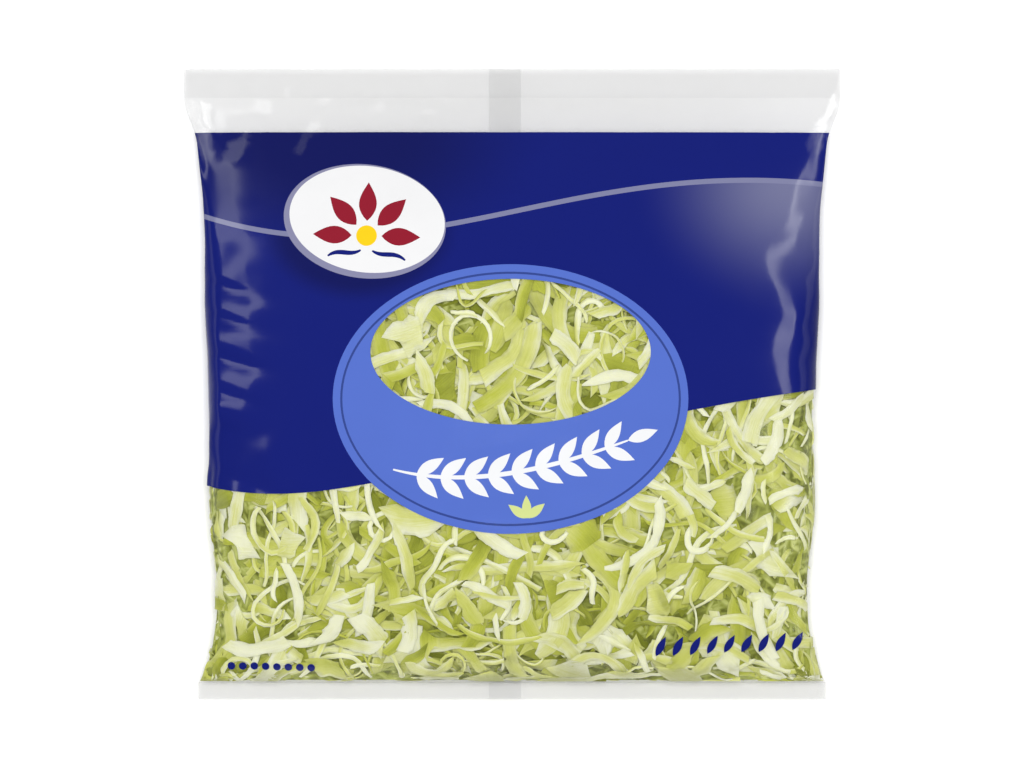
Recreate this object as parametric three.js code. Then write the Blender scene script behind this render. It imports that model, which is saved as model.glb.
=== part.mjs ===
// A sealed pillow bag of shredded cabbage (coleslaw), lying on its back with its front face up.
//
// The bag is one tube of film, shut flat by a seal at each end and joined down its back by a flat seam.
// Filling it makes it narrower: every cross-section keeps the film's own perimeter, less what the pleats
// beside the seals take up, so its half width follows from how thick the filling is there.
// The bag is shut, so it is one solid out to its film.
//
// Millimetres. +Z up, +Y towards the top seal, +X to the right of the front face.
// The origin is on the resting plane, under the middle of the bag.

import * as THREE from "three";

// The flat film.
const BAG_LENGTH = 221; // over both end seals
const TOP_SEAL = 10.2; // depth of the top seal
const BOTTOM_SEAL = 6.1; // depth of the bottom seal
const FLAT_WIDTH = 230; // of the tube, and of the top seal
const SEAL_THICKNESS = 0.8;
const SEAM_WIDTH = 11.2;
const SEAM_THICKNESS = 0.6;
const SEAM_STEP = 0.4; // run of the step from the back film down to the seam's face

// The filling.
const RISE = 31; // from the side edge up to the middle of the front
const DROP = 22.5; // from the side edge down to the middle of the back, were there no floor
const EDGE_HEIGHT = 21; // of the side edge above the floor, at its highest
const SEAL_HEIGHT = 12; // of the end seals above the floor
const SEAL_DROOP = 1.2; // how far the free edge of an end seal hangs below its root
const FILL_SKEW = 0.8; // under 1 puts the thickest place nearer the bottom
const BOTTOM_BLUNTNESS = 0.5; // the nearer 0, the more abruptly the bag fills out from its seal
const TOP_BLUNTNESS = 0.8;
const TOP_TAPER = 0.35; // share of the filled length from which the top's bluntness takes over
const BACK_FLATNESS = 2.6; // exponent of the back's section: 2 is an ellipse, more is flatter

// Film width that pleats take up. The bottom seal is pleated too, and the top seal isn't.
// Each fade runs between two shares of the filled length.
const BOTTOM_PLEATS = 10;
const BOTTOM_PLEATS_FADE = [0.1, 0.32];
const TOP_PLEATS = 7;
const TOP_PLEATS_RISE = [0.6, 0.85];
const TOP_PLEATS_FADE = [0.92, 1];

// The creases that cross the side edges, where the film is longer than the edge.
// Each place is where along the bag a crease crosses the edge. Reach is the share of the half width that
// a crease runs inwards, and lean is how far it drops towards the bottom seal for each millimetre inwards.
const CREASE_WIDTH = 3.2;
const LEFT_CREASES = {
  places: [-71, -57, -44, -30, -17, -3.5, 11, 20.5, 33, 52, 66],
  depth: 1.6,
  reach: 0.3,
  lean: 0.3,
};
const RIGHT_CREASES = {
  places: [-65, -53, -38, -24, -8, 8, 20, 37, 50, 63],
  depth: 1.6,
  reach: 0.13,
  lean: 0,
};

// How finely the skin is faceted.
const FRONT_COLUMNS = 40;
const BACK_COLUMNS = 28; // beside the seam's own columns
const FILLED_ROWS = 58;
const ROW_CROWDING = 0.5; // 0 spaces the rows evenly, 1 crowds them fully towards the seals
const SEAL_ROWS = 2;
const PERIMETER_STEPS = 80;
const HALVINGS = 30;

const TOP_ROOT = BAG_LENGTH / 2 - TOP_SEAL;
const BOTTOM_ROOT = -BAG_LENGTH / 2 + BOTTOM_SEAL;
const SEAM_HALF = SEAM_WIDTH / 2;

const { lerp, clamp, smoothstep } = THREE.MathUtils;

// How far y is from the bottom seal to the top seal, as a share.
function shareAlong(y) {
  return clamp((y - BOTTOM_ROOT) / (TOP_ROOT - BOTTOM_ROOT), 0, 1);
}

// How full the bag is at y, from 0 in the seals to 1 where it is thickest.
function fullness(y) {
  const along = shareAlong(y);
  const bluntness = lerp(BOTTOM_BLUNTNESS, TOP_BLUNTNESS, smoothstep(along, TOP_TAPER, 1));
  return Math.max(Math.sin(Math.PI * along ** FILL_SKEW), 0) ** bluntness;
}

// The film's flat width at y, less what the pleats take up there.
function filmWidth(y) {
  const along = shareAlong(y);
  const bottom = 1 - smoothstep(along, ...BOTTOM_PLEATS_FADE);
  const top = smoothstep(along, ...TOP_PLEATS_RISE) * (1 - smoothstep(along, ...TOP_PLEATS_FADE));
  return FLAT_WIDTH - BOTTOM_PLEATS * bottom - TOP_PLEATS * top;
}

// Height of the side edges at y. The seals' free edges droop.
function edgeHeight(y) {
  const past = Math.max((y - TOP_ROOT) / TOP_SEAL, (BOTTOM_ROOT - y) / BOTTOM_SEAL, 0);
  return lerp(SEAL_HEIGHT, EDGE_HEIGHT, fullness(y)) - SEAL_DROOP * past ** 2;
}

// Height of the front and the back at x, in a section whose half width is known.
function frontHeight(x, y, halfWidth) {
  const inwards = Math.sqrt(Math.max(1 - (x / halfWidth) ** 2, 0));
  return edgeHeight(y) + RISE * fullness(y) * inwards;
}

function backHeight(x, y, halfWidth) {
  const inwards = Math.max(1 - Math.abs(x / halfWidth) ** BACK_FLATNESS, 0) ** (1 / BACK_FLATNESS);
  return Math.max(edgeHeight(y) - DROP * fullness(y) * inwards, 0);
}

// Length round a section, for a trial half width.
function perimeter(y, halfWidth) {
  const around = (height) => {
    const points = Array.from({ length: PERIMETER_STEPS + 1 }, (_, i) => {
      const x = -halfWidth * Math.cos((Math.PI * i) / PERIMETER_STEPS);
      return new THREE.Vector2(x, height(x, y, halfWidth));
    });
    return points.slice(1).reduce((sum, p, i) => sum + p.distanceTo(points[i]), 0);
  };
  return around(frontHeight) + around(backHeight);
}

// The half width at which a section uses up exactly the film's width, front and back.
function halfWidthAt(y) {
  const film = filmWidth(y);
  if (fullness(y) === 0) return film / 2;
  let [low, high] = [film / 4, film / 2];
  for (let i = 0; i < HALVINGS; i++) {
    const middle = (low + high) / 2;
    if (perimeter(y, middle) > 2 * film) high = middle;
    else low = middle;
  }
  return low;
}

// How far the creases press the film down at a place, front and back alike.
// They are deepest at the side edge.
function creaseDepth(x, y, halfWidth) {
  const { places, depth, reach, lean } = x < 0 ? LEFT_CREASES : RIGHT_CREASES;
  const nearEdge = smoothstep(Math.abs(x / halfWidth), 1 - reach, 1);
  const drop = lean * (halfWidth - Math.abs(x));
  const dips = places.map((place) => Math.exp(-(((y - place + drop) / CREASE_WIDTH) ** 2)));
  return depth * dips.reduce((sum, dip) => sum + dip, 0) * nearEdge * fullness(y);
}

// Points round the bag at y: over the front from left to right, then back under it.
// The number of points is the same for every y, so that neighbouring rings can be joined.
function ring(y) {
  const halfWidth = halfWidthAt(y);
  const skin = SEAL_THICKNESS / 2;
  const points = [];
  for (let i = 0; i <= FRONT_COLUMNS; i++) {
    const x = -halfWidth * Math.cos((Math.PI * i) / FRONT_COLUMNS);
    const z = frontHeight(x, y, halfWidth) - creaseDepth(x, y, halfWidth) + skin;
    points.push(new THREE.Vector3(x, y, z));
  }
  for (const x of backColumns(halfWidth)) {
    const seam = SEAM_THICKNESS * (Math.abs(x) <= SEAM_HALF ? 1 : 0);
    const z = Math.max(backHeight(x, y, halfWidth) - creaseDepth(x, y, halfWidth) - skin - seam, 0);
    points.push(new THREE.Vector3(x, y, z));
  }
  return points;
}

// Where a ring's points lie across the back, from right to left.
// The seam's step has a column at each side of it.
function backColumns(halfWidth) {
  const foot = SEAM_HALF + SEAM_STEP;
  const outer = Array.from({ length: BACK_COLUMNS / 2 + 1 }, (_, i) => {
    const turn = (i / (BACK_COLUMNS / 2)) * Math.acos(foot / halfWidth);
    return halfWidth * Math.cos(turn);
  });
  const right = [...outer, SEAM_HALF];
  return [...right, ...right.map((x) => -x).reverse()];
}

// The places along the bag that get a ring: evenly through each seal, and closer near the seals' roots.
function ringPlaces() {
  const seal = (from, to) => Array.from({ length: SEAL_ROWS }, (_, i) => lerp(from, to, i / SEAL_ROWS));
  const filled = Array.from({ length: FILLED_ROWS }, (_, i) => {
    const eased = (1 - Math.cos((Math.PI * i) / FILLED_ROWS)) / 2;
    return lerp(BOTTOM_ROOT, TOP_ROOT, lerp(i / FILLED_ROWS, eased, ROW_CROWDING));
  });
  return [
    ...seal(-BAG_LENGTH / 2, BOTTOM_ROOT),
    ...filled,
    ...seal(TOP_ROOT, BAG_LENGTH / 2),
    BAG_LENGTH / 2,
  ];
}

// One closed skin through all rings, with each end closed by a fan round its own middle.
function loftGeometry(rings) {
  const count = rings[0].length;
  const vertices = rings.flat();
  const faces = [];
  for (let row = 0; row + 1 < rings.length; row++) {
    for (let i = 0; i < count; i++) {
      const next = (i + 1) % count;
      const [a, b] = [row * count + i, row * count + next];
      const [c, d] = [a + count, b + count];
      faces.push(a, b, d, a, d, c);
    }
  }
  const closeEnd = (row, flip) => {
    const middle = vertices.length;
    const sum = rings[row].reduce((total, p) => total.add(p), new THREE.Vector3());
    vertices.push(sum.divideScalar(count));
    for (let i = 0; i < count; i++) {
      const [a, b] = [row * count + i, row * count + ((i + 1) % count)];
      faces.push(...(flip ? [middle, b, a] : [middle, a, b]));
    }
  };
  closeEnd(0, true);
  closeEnd(rings.length - 1, false);
  const geometry = new THREE.BufferGeometry().setFromPoints(vertices);
  geometry.setIndex(faces);
  geometry.computeVertexNormals();
  return geometry;
}

const slawThroughFilm = new THREE.MeshStandardMaterial({
  color: 0xc3c98a,
  roughness: 0.25,
  metalness: 0,
});

const bag = new THREE.Mesh(loftGeometry(ringPlaces().map(ring)), slawThroughFilm);
bag.name = "slaw_bag";

const coleslaw = new THREE.Group();
coleslaw.name = "coleslaw";
coleslaw.add(bag);

export default coleslaw;
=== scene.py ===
# A sealed clear bag of finely shredded green cabbage (coleslaw), printed over its upper half.
#
# The bag lies on its back: +Z out of its front, +Y towards its top seal, +X to the right of its front.
# Shapes are worked out in millimetres, and turned into metres where a mesh is made.
# A place on the film is (turn, y). turn runs round the tube of film: the left edge is -1, the middle
# of the front 0, the right edge 1, the middle of the back 2, and the left edge is met again at 3.

import math

import bpy
import numpy as np
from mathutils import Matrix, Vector
from mathutils.geometry import delaunay_2d_cdt


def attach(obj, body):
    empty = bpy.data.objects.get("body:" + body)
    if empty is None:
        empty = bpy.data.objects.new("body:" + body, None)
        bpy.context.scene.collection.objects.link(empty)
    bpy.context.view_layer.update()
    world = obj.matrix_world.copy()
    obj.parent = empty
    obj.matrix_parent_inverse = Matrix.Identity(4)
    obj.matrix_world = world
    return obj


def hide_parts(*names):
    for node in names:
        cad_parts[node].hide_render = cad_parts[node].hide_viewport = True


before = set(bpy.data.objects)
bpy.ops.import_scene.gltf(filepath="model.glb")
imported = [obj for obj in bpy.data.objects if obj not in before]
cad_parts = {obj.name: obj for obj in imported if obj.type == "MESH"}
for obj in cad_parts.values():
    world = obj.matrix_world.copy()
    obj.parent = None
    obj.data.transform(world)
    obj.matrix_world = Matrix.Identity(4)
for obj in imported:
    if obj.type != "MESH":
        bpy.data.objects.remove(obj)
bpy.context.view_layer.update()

METRE = 0.001  # one millimetre, in metres

# ---------------------------------------------------------------- the bag's form, as in the CAD part
BAG_LENGTH = 221
TOP_SEAL = 10.2
BOTTOM_SEAL = 6.1
FLAT_WIDTH = 230
RISE = 31
DROP = 22.5
EDGE_HEIGHT = 21
SEAL_HEIGHT = 12
SEAL_DROOP = 1.2
FILL_SKEW = 0.8
BOTTOM_BLUNTNESS, TOP_BLUNTNESS = 0.5, 0.8
TOP_TAPER = 0.35
BACK_FLATNESS = 2.6
BOTTOM_PLEATS, BOTTOM_PLEATS_FADE = 10, (0.1, 0.32)
TOP_PLEATS, TOP_PLEATS_RISE, TOP_PLEATS_FADE = 7, (0.6, 0.85), (0.92, 1)
CREASE_WIDTH = 3.2
LEFT_CREASES = dict(
    dips=[
        (-71, 0.9), (-57, 0.8), (-44, 0.9), (-30, 0.7), (-14, 0.2), (-2, 1.2),
        (10.5, 1.6), (24, 1.6), (35.5, 1.6), (52, 0.3), (66, 0.2),
    ],
    reach=0.3,
    lean=0.3,
)
RIGHT_CREASES = dict(
    dips=[
        (-65, 1.3), (-53, 0.9), (-38, 1.4), (-24, 1.0), (-8, 1.2),
        (8, 1.0), (20, 1.3), (37, 1.0), (50, 1.2), (63, 0.6),
    ],
    reach=0.08,
    lean=0,
)
SEAM_WIDTH, SEAM_MIDDLE = 11.2, -2.5

TOP_END, BOTTOM_END = BAG_LENGTH / 2, -BAG_LENGTH / 2
TOP_ROOT, BOTTOM_ROOT = TOP_END - TOP_SEAL, BOTTOM_END + BOTTOM_SEAL
TURN_LENGTH = FLAT_WIDTH / 2  # millimetres of film in one unit of turn
LAYER_GAP = 0.08  # half the gap between the two layers of a seal
FLOOR_GAP = 0.35  # the back film lies this far up, with the seam's fold under it
PERIMETER_STEPS, HALVINGS = 80, 30  # in working out how wide a section is


def smooth(value, low, high):
    share = np.clip((value - low) / (high - low), 0, 1)
    return share * share * (3 - 2 * share)


def share_along(y):
    return np.clip((y - BOTTOM_ROOT) / (TOP_ROOT - BOTTOM_ROOT), 0, 1)


def fullness(y):
    along = share_along(y)
    bluntness = BOTTOM_BLUNTNESS + (TOP_BLUNTNESS - BOTTOM_BLUNTNESS) * smooth(along, TOP_TAPER, 1)
    return np.maximum(np.sin(math.pi * along**FILL_SKEW), 0) ** bluntness


def edge_height(y):
    past = np.maximum.reduce([(y - TOP_ROOT) / TOP_SEAL, (BOTTOM_ROOT - y) / BOTTOM_SEAL, 0 * y])
    return SEAL_HEIGHT + (EDGE_HEIGHT - SEAL_HEIGHT) * fullness(y) - SEAL_DROOP * past**2


def section_height(across, y, front):
    """Height of the front or the back at a share across of the half width."""
    if front:
        return edge_height(y) + RISE * fullness(y) * np.sqrt(np.maximum(1 - across**2, 0))
    inwards = np.maximum(1 - np.abs(across) ** BACK_FLATNESS, 0) ** (1 / BACK_FLATNESS)
    return np.maximum(edge_height(y) - DROP * fullness(y) * inwards, 0)


def film_width(y):
    """The film's flat width, less what the pleats beside the seals take up."""
    along = share_along(y)
    bottom = 1 - smooth(along, *BOTTOM_PLEATS_FADE)
    top = smooth(along, *TOP_PLEATS_RISE) * (1 - smooth(along, *TOP_PLEATS_FADE))
    return FLAT_WIDTH - BOTTOM_PLEATS * bottom - TOP_PLEATS * top


def solve_half_widths(y):
    """The half width at which each section uses up exactly the film's width, front and back."""
    across = -np.cos(np.linspace(0, math.pi, PERIMETER_STEPS + 1))[:, None]
    rises = [np.diff(section_height(across, y[None], front), axis=0) for front in (True, False)]
    film = film_width(y)
    low, high = film / 4, film / 2
    for _ in range(HALVINGS):
        middle = (low + high) / 2
        runs = np.diff(across * middle, axis=0)
        too_long = sum(np.hypot(runs, rise).sum(axis=0) for rise in rises) > 2 * film
        high = np.where(too_long, middle, high)
        low = np.where(too_long, low, middle)
    return np.where(fullness(y) == 0, film / 2, low)


PLACES = np.linspace(BOTTOM_END, TOP_END, 4 * BAG_LENGTH + 1)  # every 0.25 mm along the bag
HALF_WIDTHS = solve_half_widths(PLACES)


def half_width(y):
    return np.interp(y, PLACES, HALF_WIDTHS)


def across_at(turn):
    """How far to the right a turn is, as a share of the half width."""
    return np.sin(math.pi / 2 * turn)


def turn_of(x, y):
    """The turn of a place on the front."""
    return np.arcsin(np.clip(x / half_width(y), -1, 1)) * 2 / math.pi


def side_creases(across, y, dips, reach, lean):
    drop = lean * half_width(y) * (1 - np.abs(across))
    depth = sum(deep * np.exp(-(((y - place + drop) / CREASE_WIDTH) ** 2)) for place, deep in dips)
    return depth * smooth(np.abs(across), 1 - reach, 1) * fullness(y)


def crease_depth(across, y):
    left, right = (side_creases(across, y, **side) for side in (LEFT_CREASES, RIGHT_CREASES))
    return np.where(across < 0, left, right)


# ---------------------------------------------------------------- the film's wrinkles
# Down each side a strip of the front is pulled straight, and the long highlights lie on these strips.
# A strip wanders: its line is a list of (y, how far from the middle, half its width).
RIGHT_STRIP = dict(
    line=[
        (99, 113, 1.8), (85, 108, 1.8), (76, 104.6, 1.8), (71, 101.8, 1.8), (64, 100.2, 1.8),
        (58.5, 99.7, 2), (53.5, 96.4, 2.4), (50, 92.8, 2.8), (44.5, 91.6, 2.8), (39.5, 92.4, 3.2),
        (32.5, 94.6, 2), (25, 97, 2), (17, 95, 2.8), (11.5, 93.6, 2.8), (5, 94, 2), (-4, 96, 1.5),
    ],
    slope=0.455,
)
LEFT_STRIP = dict(
    line=[
        (99, 112, 2), (87.5, 108.2, 2.5), (76, 102.5, 4), (64, 102, 3.6), (57, 100.4, 4), (51.5, 98, 5),
        (41, 97.5, 3.6), (30, 96.5, 5), (19, 97.8, 4.6), (5, 96.3, 6.5), (-6, 98, 4),
    ],
    slope=0.47,
)
STRIP_EASE = 2.0  # millimetres over which one entry of a line runs into the next
STRIP_FADE = 12.0  # millimetres over which a strip dies away past the ends of its line
STRIP_LEAD = 0.33  # turn over which the section leads into a strip
STRIP_FOLD, STRIP_FOLD_WIDTH = 0.045, 0.012  # how sharply it then folds into the strip, in turn
STRIP_BEND = 0.35  # how much of its bend the section keeps across a strip
LUMP_SIZE, LUMP_HEIGHT = 20, 0.28
LUMP_UNDER_PRINT = 0.15  # share of their height that the lumps keep under the print
LUMP_FADE = -40, -5  # y over which they sink to that
PLEATS = 22  # round each end of the tube
PLEAT_HEIGHT, PLEAT_LENGTH, PLEAT_LEAN = 0.4, 12, 0.25
PLEAT_WIDTH, PLEAT_SPREAD = 1.3, 0.16  # half width at the seal, and its growth for each millimetre on


def eased(pairs, y, ease):
    """A smooth curve through about these (y, value) pairs, by a bell-shaped mean."""
    ys, values = np.array(sorted(pairs)).T
    steps = np.linspace(-1.5, 1.5, 13)
    weights = np.exp(-(steps**2))
    curve = [w * np.interp(y + step * ease, ys, values) for step, w in zip(steps, weights)]
    return sum(curve) / weights.sum()


def ripples(turn, y, size, seed, waves=16):
    """A smooth random field of about unit height that closes on itself round the tube."""
    rng = np.random.default_rng(seed)
    total = 0
    for _ in range(waves):
        angle, phase = rng.uniform(0, 2 * math.pi, 2)
        pitch = size * rng.uniform(0.7, 1.6)
        cycles = round(math.cos(angle) * 4 * TURN_LENGTH / pitch)
        total = total + np.cos(2 * math.pi * (cycles * turn / 4 + math.sin(angle) * y / pitch) + phase)
    return total / math.sqrt(waves / 2)


def pleats(turn, y, root, seed):
    """Small folds that fan out from a seal."""
    rng = np.random.default_rng(seed)
    gap = np.abs(y - root)
    total = 0
    for i in range(PLEATS):
        middle = -1 + 4 * (i + rng.uniform(0.1, 0.9)) / PLEATS
        lean = rng.uniform(-PLEAT_LEAN, PLEAT_LEAN)
        height = PLEAT_HEIGHT * rng.uniform(-1, 1)
        off = (turn - middle + 2) % 4 - 2
        away = (off * TURN_LENGTH - lean * gap) / (PLEAT_WIDTH + PLEAT_SPREAD * gap)
        total = total + height * np.exp(-(away**2))
    return total * np.exp(-gap / PLEAT_LENGTH) * smooth(gap, 0, 3)


def wrinkles(turn, y):
    """Height of the film's small folds above its smooth form."""
    filled = fullness(y)
    clear = 1 - smooth(y, *LUMP_FADE)
    lumps = ripples(turn, y, LUMP_SIZE, 11) * LUMP_HEIGHT
    folds = pleats(turn, y, TOP_ROOT, 13) + pleats(turn, y, BOTTOM_ROOT, 14)
    body = lumps * (LUMP_UNDER_PRINT + (1 - LUMP_UNDER_PRINT) * clear)
    return np.where(filled > 0, body * smooth(filled, 0.1, 0.8) + folds, 0)


QUARTER_STEPS = 200
QUARTER = np.linspace(0, 1, QUARTER_STEPS + 1)  # from the middle of the front to a side edge
TURNS = np.linspace(-1, 3, 4 * QUARTER_STEPS + 1)
GRID = np.meshgrid(TURNS, PLACES, indexing="ij")


def side_heights(line, slope):
    """How far one side of the front is above the side edge, over QUARTER and PLACES.

    The section is the plain ellipse, apart from the strip along the line, which has the given slope.
    """
    x, reach = (eased([(entry[0], entry[k]) for entry in line], PLACES, STRIP_EASE) for k in (1, 2))
    half, peak = half_width(PLACES), RISE * fullness(PLACES)
    quarter = math.pi / 2
    middle = np.arcsin(np.clip(x / half, 0, 0.99)) / quarter
    reach = reach / (half * quarter * np.cos(quarter * middle))
    before, after = (section_height(x / half_width(PLACES + k), PLACES + k, True) for k in (-1, 1))
    aside = np.sqrt(np.maximum(slope**2 - ((after - before) / 2) ** 2, 0.2 * slope**2))
    as_steep = np.arctan(aside * half / np.maximum(peak, 0.01)) / quarter
    low, high = line[-1][0], line[0][0]
    strength = smooth(PLACES, low - STRIP_FADE, low) * (1 - smooth(PLACES, high, high + STRIP_FADE))
    moved = []
    for a, m, r, share in zip(middle, as_steep, reach, strength):
        r = min(r, 0.7 * (1 - a))
        bend = STRIP_BEND * r
        m = min(m, 1 - 1.5 * bend)
        start = a - r - STRIP_LEAD
        places = [0, start, a - r - STRIP_FOLD_WIDTH, a - r, a + r, 1]
        knots = [0, start, m - bend - STRIP_FOLD, m - bend, m + bend, 1]
        moved.append(QUARTER + share * (np.interp(QUARTER, places, knots) - QUARTER))
    moved = np.clip(np.array(moved).T, 0, QUARTER[-2])
    fall = peak * quarter * np.tan(quarter * moved) * np.cos(quarter * QUARTER)[:, None]
    fall[-1] = fall[-2]
    steps = (fall[1:] + fall[:-1]) / 2 * QUARTER[1]
    heights = peak - np.concatenate([0 * peak[None], np.cumsum(steps, axis=0)])
    return heights - heights[-1] * smooth(QUARTER[:, None], middle + reach, 1)


def smooth_film():
    """Points of the film without its small folds, over GRID."""
    turn, y = GRID
    across, inwards = across_at(turn), np.cos(math.pi / 2 * turn)
    z = section_height(across, y, False)
    sides = side_heights(**LEFT_STRIP)[::-1], side_heights(**RIGHT_STRIP)[1:]
    z[: 2 * QUARTER_STEPS + 1] = edge_height(PLACES) + np.concatenate(sides)
    z = z - crease_depth(across, y) + LAYER_GAP * np.clip(8 * inwards, -1, 1)
    return np.stack([half_width(y) * across, y, np.maximum(z, FLOOR_GAP)], axis=-1)


class Skin:
    """A film surface sampled on a grid of (turn, y), which gives points, normals and stretch anywhere."""

    def __init__(self, points):
        self.points = points
        around = (points[2:, :] - points[:-2, :]) / (TURNS[2] - TURNS[0])
        first = (points[1:2] - points[-2:-1]) / (TURNS[2] - TURNS[0])
        self.around = np.concatenate([first, around, first])
        self.along = np.gradient(points, PLACES, axis=1)
        normals = np.cross(self.around, self.along)
        self.normals = normals / np.linalg.norm(normals, axis=-1, keepdims=True)

    def read(self, field, turn, y):
        a = ((turn + 1) % 4) / 4 * (len(TURNS) - 1)
        b = (np.clip(y, BOTTOM_END, TOP_END) - BOTTOM_END) / BAG_LENGTH * (len(PLACES) - 1)
        i, j = np.minimum(a.astype(int), len(TURNS) - 2), np.minimum(b.astype(int), len(PLACES) - 2)
        p, q = (a - i)[..., None], (b - j)[..., None]
        lower = field[i, j] * (1 - p) + field[i + 1, j] * p
        upper = field[i, j + 1] * (1 - p) + field[i + 1, j + 1] * p
        return lower * (1 - q) + upper * q

    def at(self, turn, y):
        normals = self.read(self.normals, turn, y)
        normals /= np.linalg.norm(normals, axis=-1, keepdims=True)
        return self.read(self.points, turn, y), normals

    def stretch(self, turn, y):
        """Millimetres along the film for each unit of turn and of y."""
        return (np.linalg.norm(self.read(way, turn, y), axis=-1) for way in (self.around, self.along))


smooth_skin = Skin(smooth_film())
folded = smooth_skin.points + smooth_skin.normals * wrinkles(*GRID)[..., None]
folded[..., 2] = np.maximum(folded[..., 2], FLOOR_GAP)
skin = Skin(folded)

# ---------------------------------------------------------------- outlines of the print
PRINT_TOP = 88.0  # the print's straight top edge
FIELD_EDGE = [(-107, -35.4), (-56.9, -47.2), (-4.7, -16.6), (107, -1.75)]  # its lower edge, a Bezier curve
LINE = [(-108, 58.7), (-34, 34.3), (16.9, 78.8), (108, 69.85)]  # the pale line, a Bezier curve
LINE_WIDTH = 1.8
MEDAL = dict(middle=(-0.5, -5.1), radii=(61.5, 46.6))
MEDAL_LINE = dict(middle=MEDAL["middle"], radii=(58.9, 44.0))
MEDAL_LINE_WIDTH = 0.75
IN_MEDAL_LINE = dict(middle=MEDAL["middle"], radii=[r - MEDAL_LINE_WIDTH for r in MEDAL_LINE["radii"]])
WINDOW = dict(middle=(-0.5, 11.2), radii=(48.5, 25.2))
BADGE = dict(middle=(-50.4, 57.3), radii=(27.2, 18.6), tilt=-8)
BADGE_RIM = dict(middle=(-51.2, 56.6), radii=(28.4, 19.9), tilt=-8)


def bezier(points, steps=80):
    a, b, c, d = (np.array(p, float) for p in points)
    t = np.linspace(0, 1, steps)[:, None]
    return (1 - t) ** 3 * a + 3 * t * (1 - t) ** 2 * b + 3 * t * t * (1 - t) * c + t**3 * d


def band_edge(points, lift=0.0, steps=120):
    """A curve right round the tube, as (turn, y): the Bezier curve over the front, and on round the back
    in one smooth sweep to where it began."""
    curve = bezier(points)
    start, end = np.array(points[0]), np.array(points[3])
    first_slope, last_slope = (
        (points[k + 1][1] - points[k][1]) / (points[k + 1][0] - points[k][0]) for k in (0, 2)
    )
    turn = np.linspace(-1, 1, steps)
    y = np.zeros(steps)
    for _ in range(4):
        y = np.interp(half_width(y) * across_at(turn), curve[:, 0], curve[:, 1])
    t = np.linspace(0, 1, steps)[1:]
    run = 2 * TURN_LENGTH
    sweep = (
        (2 * t**3 - 3 * t**2 + 1) * end[1]
        + (t**3 - 2 * t**2 + t) * run * last_slope
        + (3 * t**2 - 2 * t**3) * start[1]
        + (t**3 - t**2) * run * first_slope
    )
    round_tube = np.stack([np.concatenate([turn, 1 + 2 * t]), np.concatenate([y, sweep])], axis=1)
    round_tube[0, 1] = round_tube[-1, 1]
    round_tube[:, 1] += lift
    return round_tube


def on_front(outline):
    """(x, y) points over the front, as (turn, y)."""
    x, y = np.array(outline).T
    return np.stack([turn_of(x, y), y], axis=1)


def turned_on_front(x, y, origin, degrees):
    """A shape turned by an angle about (0, 0), and laid on the front with that point at origin."""
    c, s = math.cos(math.radians(degrees)), math.sin(math.radians(degrees))
    return on_front(np.stack([origin[0] + x * c - y * s, origin[1] + x * s + y * c], axis=1))


def oval(middle, radii, tilt=0.0, steps=110):
    angle = np.linspace(0, 2 * math.pi, steps, endpoint=False)
    return turned_on_front(radii[0] * np.cos(angle), radii[1] * np.sin(angle), middle, tilt)


def leaf(root, angle, length, width, steps=12):
    """A pointed leaf that grows from root at an angle in degrees."""
    t = np.linspace(0, 1, steps)
    side = width / 2 * np.sin(math.pi * t**0.85)
    x = np.concatenate([t, t[-2:0:-1]]) * length
    return turned_on_front(x, np.concatenate([side, -side[-2:0:-1]]), root, angle)


def stroke(points, width, steps=40):
    """A line of the given width along a Bezier curve."""
    curve = bezier(points, steps)
    ahead = np.gradient(curve, axis=0)
    side = np.stack([-ahead[:, 1], ahead[:, 0]], axis=1) / np.linalg.norm(ahead, axis=1)[:, None]
    half = width / 2 * np.sqrt(np.sin(math.pi * np.linspace(0.04, 0.96, steps)))[:, None]
    return on_front(np.concatenate([curve + side * half, (curve - side * half)[::-1]]))


SPRIG_STEM = [(-41, -29.5), (-14, -36.5), (14, -29), (40, -19.5)]
SPRIG_STEM_WIDTH = 1.6
SPRIG_LEAF = dict(length=11, width=4.2)
SPRIG_LEAVES = 9  # on each side of the stem
SPRIG_SPREAD = 40  # degrees between a leaf and the stem
SMALL_LEAF = dict(length=8, width=3.2)
SMALL_LEAF_ROOT = (5.2, -46.4)
SMALL_LEAF_ANGLES = (40, 92, 144)
BADGE_LEAF = dict(length=13.5, width=6.2)
BADGE_LEAF_ANGLES = (-2, 43, 88, 133, 178)
BADGE_LEAF_START = 5.2  # how far the leaves start from the bud
BADGE_BUD = dict(middle=(-50.5, 51.5), radii=(3.6, 3.6))
BADGE_STALKS = (
    [(-64, 44.5), (-60, 47.5), (-56.5, 44), (-52.5, 46.5)],
    [(-48.5, 46.2), (-44.5, 43.5), (-41, 46.5), (-37, 42.8)],
)
BADGE_STALK_WIDTH = 1.6


# Two small borders over the contents: a row of leaves at the right, and a row of dots at the left.
FOOT_LEAVES = 9
FOOT_LEAF = dict(angle=62, length=7.4, width=2.6)
FOOT_LEAF_ROW = [(50, -94.5), (98, -93)]
FOOT_DOTS = 8
FOOT_DOT = 1.35  # radius
FOOT_DOT_ROW = [(-98, -98.4), (-70, -98.8)]


def along_row(row, count):
    (x0, y0), (x1, y1) = row
    return [(x0 + (x1 - x0) * k / (count - 1), y0 + (y1 - y0) * k / (count - 1)) for k in range(count)]


def foot_marks():
    for place in along_row(FOOT_LEAF_ROW, FOOT_LEAVES):
        yield leaf(place, **FOOT_LEAF)
    for place in along_row(FOOT_DOT_ROW, FOOT_DOTS):
        yield oval(place, (FOOT_DOT, FOOT_DOT), steps=16)


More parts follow.
